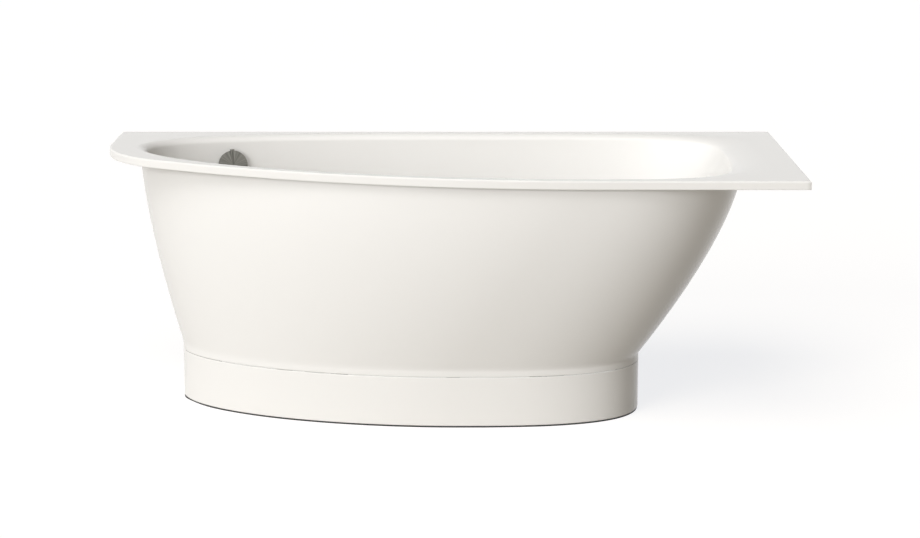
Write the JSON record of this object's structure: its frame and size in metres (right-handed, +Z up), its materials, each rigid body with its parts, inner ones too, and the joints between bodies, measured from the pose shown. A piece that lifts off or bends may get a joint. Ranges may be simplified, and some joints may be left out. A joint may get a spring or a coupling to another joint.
{
  "type": "corner bathtub",
  "caption": "Corner bath with a wide deck squared to the walls, a curved apron on a recessed plinth, levelling feet and a plug worked by the overflow knob.",
  "frame": {"origin": "on the floor under the middle of the deck's outline", "axes": "+X along the long wall towards the head end, +Y towards the long wall, +Z up"},
  "size_m": [1.75, 0.8, 0.64],
  "materials": {
    "enamel": "glossy white enamel",
    "rubber": "matt black",
    "bitumen": "matt, slightly rough",
    "foam": "rigid foam",
    "zinc_steel": "zinc plated",
    "brushed_metal": "brushed in circles",
    "brass": "turned",
    "chrome": "polished",
    "white_plastic": "moulded",
    "black_plastic": "moulded"
  },
  "bodies": {
    "bath": {"bath_shell": "enamel", "apron": "enamel", "plinth": "enamel", "plinth_floor_seal": "rubber", "plinth_clips": "zinc_steel", "apron_blocks": "foam", "head_end_strap": "enamel", "foot_rail_tap_end": "zinc_steel", "foot_rail_head_end": "zinc_steel", "rail_pads": "rubber", "sound_pads": "bitumen", "weld_nuts": "zinc_steel", "lock_nuts": "zinc_steel", "waste_seal": "rubber", "waste_gasket": "rubber", "waste_flange": "chrome", "waste_body": "white_plastic", "overflow_rose": "brushed_metal", "overflow_gasket": "rubber", "overflow_body": "white_plastic", "overflow_screws": "zinc_steel", "cable_housing": "black_plastic", "bowden_cable": "black_plastic", "overflow_pipe": "white_plastic", "trap_body": "white_plastic", "outlet_pipe": "white_plastic", "union_nuts": "white_plastic", "earth_lug": "zinc_steel", "earth_bolt": "zinc_steel", "earth_nut": "zinc_steel"},
    "knob": {"overflow_knob": "brushed_metal", "overflow_spindle": "brass", "cable_drum": "brass"},
    "lever": {"lift_lever": "black_plastic"},
    "plug": {"plug_cap": "chrome", "plug_seal": "rubber", "plug_stem": "chrome"},
    "foot_1": {"foot_stud_1": "zinc_steel", "foot_pad_1": "black_plastic"},
    "foot_2": {"foot_stud_2": "zinc_steel", "foot_pad_2": "black_plastic"},
    "foot_3": {"foot_stud_3": "zinc_steel", "foot_pad_3": "black_plastic"},
    "foot_4": {"foot_stud_4": "zinc_steel", "foot_pad_4": "black_plastic"}
  },
  "joints": [
    {"name": "knob_turn", "type": "hinge", "parent": "bath", "child": "knob", "pos_m": [-0.57, 0.2997, 0.564], "axis": [0.2628, -0.9448, 0.1957], "range_deg": [0, 90]},
    {"name": "lever_turn", "type": "hinge", "parent": "bath", "child": "lever", "pos_m": [-0.415, -0.022, 0.149], "axis": [1, 0, 0], "range_deg": [0, 26.1]},
    {"name": "plug_rise", "type": "slide", "parent": "bath", "child": "plug", "axis": [0, 0, 1], "range_m": [0, 0.0101]},
    {"name": "foot_1_travel", "type": "slide", "parent": "bath", "child": "foot_1", "axis": [0, 0, -1], "range_m": [0, 0.02]},
    {"name": "foot_2_travel", "type": "slide", "parent": "bath", "child": "foot_2", "axis": [0, 0, -1], "range_m": [0, 0.02]},
    {"name": "foot_3_travel", "type": "slide", "parent": "bath", "child": "foot_3", "axis": [0, 0, -1], "range_m": [0, 0.02]},
    {"name": "foot_4_travel", "type": "slide", "parent": "bath", "child": "foot_4", "axis": [0, 0, -1], "range_m": [0, 0.02]}
  ],
  "couplings": [
    {"joint": "lever_turn", "follows": "knob_turn", "ratio": 0.28889},
    {"joint": "plug_rise", "follows": "knob_turn", "m_per_rad": 0.006366}
  ]
}
